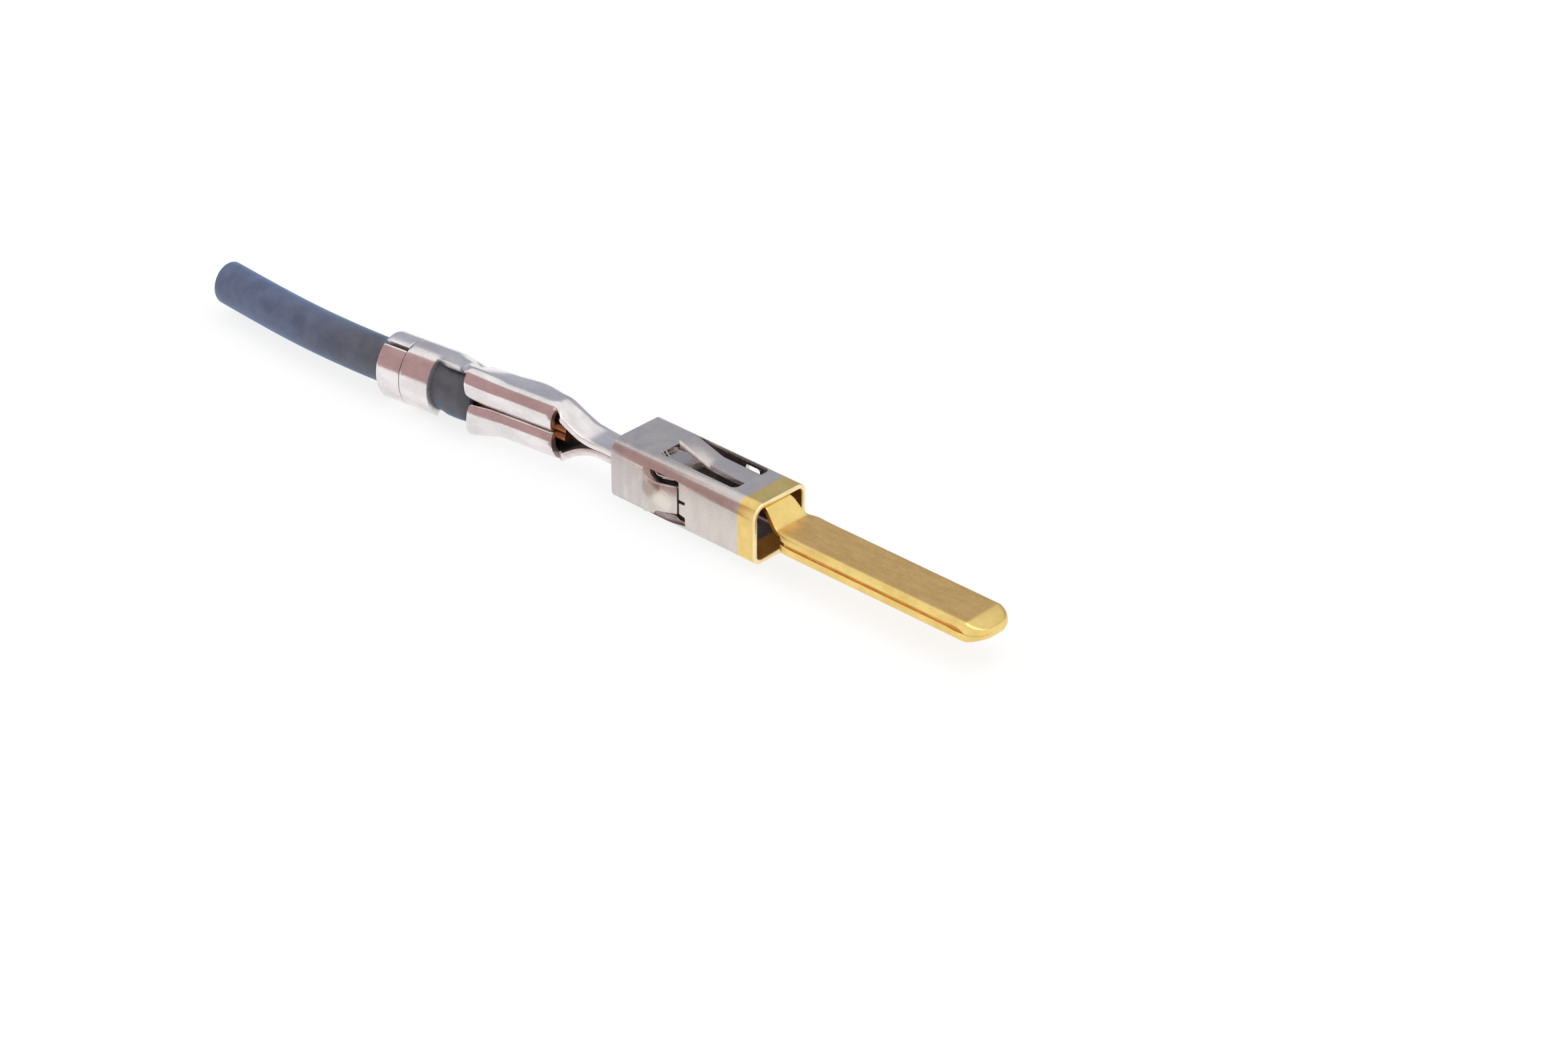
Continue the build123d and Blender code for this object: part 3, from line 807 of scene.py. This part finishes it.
# Near wall: opening, the lip set back under it, and the tab pressed into it
SLOT_FRONT, SLIT_FRONT, SLIT_REAR = REAR + 2.80, REAR + 2.58, REAR + 2.39
side_opening = [
    (REAR + 1.90, 0.05), (REAR + 1.22, 0.05), (REAR + 1.22, 1.50), (SLIT_FRONT, 1.50), (SLIT_FRONT, 0.97),
    (SLOT_FRONT, 0.97), (SLOT_FRONT, 0.87), (SLIT_FRONT, 0.86), (SLIT_FRONT, 0.53), (SLOT_FRONT, 0.49),
    (SLOT_FRONT, 0.20),
]
opening_radii = [0.1, 0, 0, 0.06, 0.02, 0.02, 0.02, 0.02, 0.03, 0.04, 0.05]
opening_line = outline(side_opening, opening_radii, 4)
combine(lock_box, "DIFFERENCE", prism("side_opening", opening_line, "Y", -half - 1, -half + w + 0.001))
lip = [(REAR + 1.80, -0.1), (REAR + 2.84, -0.1), (REAR + 2.84, 0.26), (REAR + 1.80, 0.14)]
combine(lock_box, "DIFFERENCE", prism("lip", outline(lip, [0, 0, 0.03, 0.03], 4), "Y", -half - 1, -half + 0.05))
PRESS = 0.12
press_plan = [
    (REAR + 1.219, -half), (REAR + 1.69, -half + PRESS), (SLIT_REAR, -half + PRESS), (SLIT_REAR, -half + PRESS + w),
    (REAR + 1.67, -half + PRESS + w), (REAR + 1.219, -half + w),
]
press_tab = prism("press_tab", outline(press_plan, [0, 0.5, 0, 0, 0.4, 0], 8), "Z", 0.1, 1.7)
press_side = [
    (REAR + 1.0, 0.05), (REAR + 1.50, 0.06), (REAR + 1.60, 0.20), (SLIT_REAR, 0.37), (SLIT_REAR, 1.25),
    (REAR + 1.66, 1.09), (REAR + 1.46, 1.30), (REAR + 1.42, 1.50), (REAR + 1.0, 1.50),
]
press_radii = [0, 0.08, 0.08, 0.10, 0.10, 0.16, 0.10, 0.05, 0]
combine(press_tab, "INTERSECT", prism("press_side", outline(press_side, press_radii), "Y", -half - 1, 0))
combine(lock_box, "UNION", press_tab)

# Hole near the top of the far wall
far_hole = [(MOUTH - 2.10, 1.24), (MOUTH - 1.58, 1.24), (MOUTH - 1.58, 1.60), (MOUTH - 2.10, 1.60)]
combine(lock_box, "DIFFERENCE", prism("far_hole", outline(far_hole, [0.1] * 4), "Y", half - w - 0.05, half + 1))


def round_rim(piece, place, radius):
    """Rounds the edges of a cut end that lies at one place along X."""
    bm = bmesh.new()
    bm.from_mesh(piece.data)
    rim_edges = [
        e for e in bm.edges
        if all(abs(v.co.x / MM - place) < 0.001 for v in e.verts)
        and len(e.link_faces) == 2 and e.calc_face_angle() > 0.5
    ]
    bmesh.ops.bevel(
        bm, geom=rim_edges, offset=radius * MM, segments=4, profile=0.5, affect="EDGES", clamp_overlap=True
    )
    bm.to_mesh(piece.data)
    bm.free()


SHELL_FACE, INNER_FACE, CUT_FACE, RIM_FACE = range(4)
round_rim(lock_box, MOUTH, 0.055)
for face in lock_box.data.polygons:
    face.use_smooth = True
    middle = face.center / MM
    inside = abs(middle.y) < half - w + 0.01 and w - 0.01 < middle.z < BOX_TOP - w + 0.01
    on_lance = middle.z > 1.5 and WINDOW_NEAR + 0.1 < middle.y < WINDOW_FAR - 0.1 and middle.x < WINDOW_FRONT - 0.05
    # Faces inside the box take the darker steel, painted shade.
    face.material_index = INNER_FACE if inside and REAR + 0.001 < middle.x < MOUTH - 0.06 else SHELL_FACE
    if on_lance and middle.x > REAR + 1.6 and abs(face.normal.z) < 0.8:
        beside = middle.x > LANCE_BEND + 0.05 and abs(face.normal.x) < 0.5
        face.material_index = INNER_FACE if beside else CUT_FACE
    # The mouth's rim takes the pale gold, painted highlight.
    if middle.x > MOUTH - 0.045:
        face.material_index = RIM_FACE
for material in (STEEL, STEEL_INSIDE_PAINTED_SHADE, STEEL_EDGE, RIM_GOLD_PAINTED_HIGHLIGHT):
    lock_box.data.materials.append(material)
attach(lock_box, "root")
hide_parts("lock_box")
edge_finish(lock_box, 0.022)


# Sheared burrs along the opening and at the window's rear, and the dimple on the pressed tab


def bead(name, points, radius, material, sides=8):
    """A thin burr along a line of points, tapered at both ends and sunk into the wall it grew from."""
    line = resample([Vector(p) for p in points], 4 * len(points))
    rings = []
    for k, centre in enumerate(line):
        ahead = (line[min(k + 1, len(line) - 1)] - line[max(k - 1, 0)]).normalized()
        across = ahead.cross(Vector((0, 0, 1)) if abs(ahead.z) < 0.8 else Vector((0, 1, 0))).normalized()
        upward = across.cross(ahead)
        size = radius * max(0.25, math.sin(math.pi * (k + 0.5) / len(line)) ** 0.5)
        rings.append([centre + across * size * math.cos(a) + upward * size * math.sin(a) for a in turns(sides)])
    mesh = grid_mesh(name, rings, closed=True)
    close_ends(mesh)
    return make_object(name, mesh, (material,), ["lock_box"])


NEAR_WALL = -half + 0.006
BURRS = (
    (
        "burr_tab",
        (
            (1.17, NEAR_WALL, 1.37), (1.27, NEAR_WALL, 1.28), (1.38, NEAR_WALL + 0.03, 1.17),
            (1.54, NEAR_WALL + 0.075, 1.09), (1.75, NEAR_WALL + 0.11, 1.10), (2.10, NEAR_WALL + PRESS, 1.17),
            (2.37, NEAR_WALL + PRESS, 1.23),
        ),
        0.034,
    ),
    (
        "burr_upper_1",
        ((1.66, NEAR_WALL + 0.02, 1.49), (1.80, NEAR_WALL, 1.44), (1.98, NEAR_WALL, 1.46), (2.20, NEAR_WALL, 1.50)),
        0.022,
    ),
    ("burr_upper_2", ((1.95, NEAR_WALL, 1.40), (2.12, NEAR_WALL, 1.46), (2.40, NEAR_WALL, 1.51)), 0.020),
    (
        "burr_lower_2",
        ((2.05, NEAR_WALL + 0.11, 0.28), (2.36, NEAR_WALL + 0.09, 0.33), (2.54, NEAR_WALL + 0.06, 0.30)),
        0.020,
    ),
    ("burr_window_1", ((1.36, -0.44, 1.796), (1.50, -0.50, 1.785), (1.62, -0.55, 1.79)), 0.022),
    ("burr_window_2", ((1.40, -0.30, 1.796), (1.52, -0.38, 1.77), (1.70, -0.44, 1.73)), 0.020),
)
for name, points, radius in BURRS:
    bead(name, [Vector((REAR, 0, 0)) + Vector(p) for p in points], radius, STEEL_EDGE)

DIMPLE_X, DIMPLE_Y, DIMPLE_Z = REAR + 1.84, -half + PRESS + 0.008, 0.58
DIMPLE_RADIUS, DIMPLE_PROUD, DIMPLE_STEPS = 0.29, 0.02, 8
dimple_rows = []
for k in range(DIMPLE_STEPS + 1):
    angle = math.pi / 2 * k / DIMPLE_STEPS
    reach_out, proud = DIMPLE_RADIUS * math.cos(angle), DIMPLE_PROUD * math.sin(angle)
    dimple_rows.append([
        Vector((DIMPLE_X + reach_out * math.cos(a), DIMPLE_Y - proud, DIMPLE_Z + reach_out * math.sin(a)))
        for a in turns(40)
    ])
dimple_rows.insert(0, [p + Vector((0, 0.06, 0)) for p in dimple_rows[0]])
dimple_mesh = grid_mesh("press_dimple", dimple_rows, closed=True)
close_ends(dimple_mesh)
make_object("press_dimple", dimple_mesh, (STEEL,), ["lock_box"])


# Wire: insulation squeezed in the grip, and seven strands, all on one route

route = [Vector((0, 0, d)) for d in (BELL_REAR - 0.9, BELL_REAR, GRIP_REAR)]
for leg, turn in enumerate((0, 1, 2, 2.6)):
    run = STUB_RUN * (0.45 if leg == 0 else 1.0)
    swing = Vector((math.tan(turn * STUB_SWING), math.tan(turn * STUB_RISE), 1))
    route.append(route[-1] + swing * run)


def route_line(points, steps=14):
    """Smooth line that leaves the first point, nears each middle one and ends at the last."""
    line = [points[0]]
    ends = [points[0]] + [(a + b) / 2 for a, b in zip(points[1:], points[2:-1])] + [points[-1]]
    for start, middle, end in zip(ends, points[1:-1], ends[1:]):
        for k in range(1, steps + 1):
            t = k / steps
            line.append(start * (1 - t) ** 2 + middle * 2 * t * (1 - t) + end * t ** 2)
    return line


def on_route(side, up, along):
    return START + SIDE * side + UP * up - FORWARD * along


wire_line = route_line(route)
SQUEEZE = ((GRIP_REAR - 0.02, 1.0), (GRIP_REAR + 0.45, 0.0))
SQUEEZED = (GRIP_DEEP - SHEET - 0.003, GRIP_WIDE - SHEET - 0.003)


def wire_ring(centre, side_radius, up_radius, count=64):
    return [
        on_route(centre.x - side_radius * math.cos(a), centre.y + up_radius * math.sin(a), centre.z)
        for a in turns(count)
    ]


outer, bore = [], []
body_line = [p for p in wire_line if p.z > BELL_REAR + 0.03]
body_line.insert(0, Vector((0, 0, BELL_REAR + 0.02)))
for centre in body_line:
    held = eased(SQUEEZE, centre.z, 0.1)
    shoulder = 1 - SHOULDER * (1 - smooth(BELL_REAR, BELL_REAR + 0.22, centre.z)) ** 2
    slump = SLUMP * smooth(BELL_REAR, BELL_REAR + 0.5, centre.z)
    slump *= 1 - smooth(GRIP_FRONT - 0.5, GRIP_FRONT, centre.z)
    side_radius = (WIRE + (SQUEEZED[0] - WIRE) * held) * shoulder
    up_radius = (WIRE + (SQUEEZED[1] - WIRE) * held - 0.5 * slump) * shoulder
    outer.append(wire_ring(centre - Vector((slump, slump, 0)), side_radius, up_radius))
    bore.append(wire_ring(centre, BORE, BORE))
insulation_mesh = grid_mesh("insulation_tube", outer + bore[::-1], closed=True, closed_ends=True)
insulation = make_object("insulation_tube", insulation_mesh, (INSULATION,), ["wire_insulation"])
edge_finish(insulation, 0.02, 50)

strand_places = [(0.0, 0.0)]
for sixth in range(6):
    angle = math.radians(60 * sixth + 30)
    strand_places.append((PITCH * math.cos(angle), PITCH * math.sin(angle)))
for number, (side, up) in enumerate(strand_places, start=1):
    lead = 0.20 - 0.05 * ((number * 5) % 4)
    line = [Vector((0, 0, -lead)), Vector((0, 0, 1.2))] + wire_line
    rings = []
    for centre in line:
        rings.append([
            on_route(centre.x + side - STRAND * math.cos(a), centre.y + up + STRAND * math.sin(a), centre.z)
            for a in turns(STRAND_SIDES)
        ])
    name = f"strand_wire_{number}"
    mesh = grid_mesh(name, rings, closed=True)
    close_ends(mesh)
    piece = make_object(name, mesh, (COPPER,), [f"strand_{number}"])
    edge_finish(piece, 0.012, 60)


# Floor, world, lamps and camera

FLOOR = body_low.z
floor_mesh = bpy.data.meshes.new("floor")
reach = 600
floor_mesh.from_pydata(
    [Vector((x * reach, y * reach, FLOOR)) * MM for x, y in ((-1, -1), (1, -1), (1, 1), (-1, 1))],
    [], [(0, 1, 2, 3)],
)
floor = bpy.data.objects.new("floor", floor_mesh)
bpy.context.scene.collection.objects.link(floor)


def shown_directly(tree):
    """1 for what the camera sees, straight or in metal and glass."""
    path = tree.nodes.new("ShaderNodeLightPath")
    seen = math_node(tree, "MAXIMUM", path.outputs["Is Camera Ray"], path.outputs["Is Glossy Ray"])
    return math_node(tree, "MAXIMUM", seen, path.outputs["Is Transmission Ray"])


floor_material = bpy.data.materials.new("pale_floor")
floor_material.use_nodes = True
tree = floor_material.node_tree
tree.nodes.clear()
seen = shown_directly(tree)
plain = node(tree, "ShaderNodeBsdfDiffuse", Color=shade(0.80, 0.80, 0.80))
dim = node(tree, "ShaderNodeBsdfDiffuse", Color=shade(0.22, 0.22, 0.22))
glow = node(tree, "ShaderNodeEmission", Color=shade(1, 1, 1), Strength=0.80)
lit = tree.nodes.new("ShaderNodeAddShader")
tree.links.new(dim.outputs[0], lit.inputs[0])
tree.links.new(glow.outputs[0], lit.inputs[1])
both = node(tree, "ShaderNodeMixShader", Fac=seen)
tree.links.new(plain.outputs[0], both.inputs[1])
tree.links.new(lit.outputs[0], both.inputs[2])
out = tree.nodes.new("ShaderNodeOutputMaterial")
tree.links.new(both.outputs[0], out.inputs[0])
floor_mesh.materials.append(floor_material)

# Reflection cards: two upright ones in front on the left, seen in glossy reflections alone, which give the bends
# their mauve line. Each has its place along Y, its left and right ends, and its lower and upper edges
CARDS = ((-3.4, -6.8, 0.9, FLOOR, 4.8), (-4.6, -38.0, -6.8, 0.9, 14.0))
card_mesh = bpy.data.meshes.new("reflection_card")
card_mesh.from_pydata(
    [
        Vector(c) * MM for y, left, right, low, high in CARDS
        for c in ((left, y, low), (right, y, low), (right, y, high), (left, y, high))
    ],
    [], [(0, 1, 2, 3), (4, 5, 6, 7)],
)
card_material = bpy.data.materials.new("mauve_card")
card_material.use_nodes = True
tree = card_material.node_tree
tree.nodes.clear()
glow = node(tree, "ShaderNodeEmission", Color=shade(0.495, 0.325, 0.325), Strength=1.0)
out = tree.nodes.new("ShaderNodeOutputMaterial")
tree.links.new(glow.outputs[0], out.inputs[0])
card_mesh.materials.append(card_material)
card = bpy.data.objects.new("reflection_card", card_mesh)
bpy.context.scene.collection.objects.link(card)
for ray in ("camera", "diffuse", "transmission", "volume_scatter", "shadow"):
    setattr(card, "visible_" + ray, False)

# World: white to the camera, and to every other ray nearly white with a grey screen behind on the left
world = bpy.data.worlds.new("studio")
bpy.context.scene.world = world
world.use_nodes = True
tree = world.node_tree
tree.nodes.clear()
path = tree.nodes.new("ShaderNodeLightPath")
direction = tree.nodes.new("ShaderNodeTexCoord")
split = node(tree, "ShaderNodeSeparateXYZ", Vector=direction.outputs["Generated"])
turn = math_node(tree, "ARCTAN2", split.outputs[1], split.outputs[0])
rise = split.outputs[2]


def screen(turn_low, turn_high, rise_high, soft):
    """1 inside a screen that stands between two directions, in degrees, up to a height."""
    low, high = math.radians(turn_low), math.radians(turn_high)
    past_low = ramp(tree, turn, low - soft, low + soft)
    before_high = ramp(tree, turn, high - soft, high + soft, 1, 0)
    inside = math_node(tree, "MULTIPLY", past_low, before_high)
    return math_node(tree, "MULTIPLY", inside, ramp(tree, rise, rise_high - soft, rise_high + soft, 1, 0))


sky = mix(tree, screen(82, 178, 0.71, 0.04), shade(0.98, 0.98, 0.99), shade(0.455, 0.475, 0.55))
sky = mix(tree, path.outputs["Is Camera Ray"], sky, shade(1, 1, 1))
background = node(tree, "ShaderNodeBackground", Color=sky, Strength=1.0)
out = tree.nodes.new("ShaderNodeOutputWorld")
tree.links.new(background.outputs[0], out.inputs[0])


def area_lamp(name, place, size, power):
    data = bpy.data.lights.new(name, "AREA")
    data.shape = "DISK"
    data.size = size
    data.energy = power
    lamp = bpy.data.objects.new(name, data)
    lamp.location = place
    target = Vector((-0.003, 0, 0.001))
    lamp.rotation_euler = (target - lamp.location).to_track_quat("-Z", "Y").to_euler()
    bpy.context.scene.collection.objects.link(lamp)
    return lamp


area_lamp("overhead", place=(0.03, 0.02, 0.16), size=0.10, power=0.035)

camera_data = bpy.data.cameras.new("camera")
camera_data.sensor_width = 36
camera_data.lens = 108.23
camera_data.clip_start = 0.001
camera_data.clip_end = 10
camera = bpy.data.objects.new("camera", camera_data)
camera.location = (0.0770934, -0.0787282, 0.0648744)
looking = Vector((-0.59100606, 0.62650284, -0.50813977))
camera.rotation_euler = looking.to_track_quat("-Z", "Y").to_euler()
bpy.context.scene.collection.objects.link(camera)
bpy.context.scene.camera = camera
bpy.context.scene.view_settings.view_transform = "Standard"
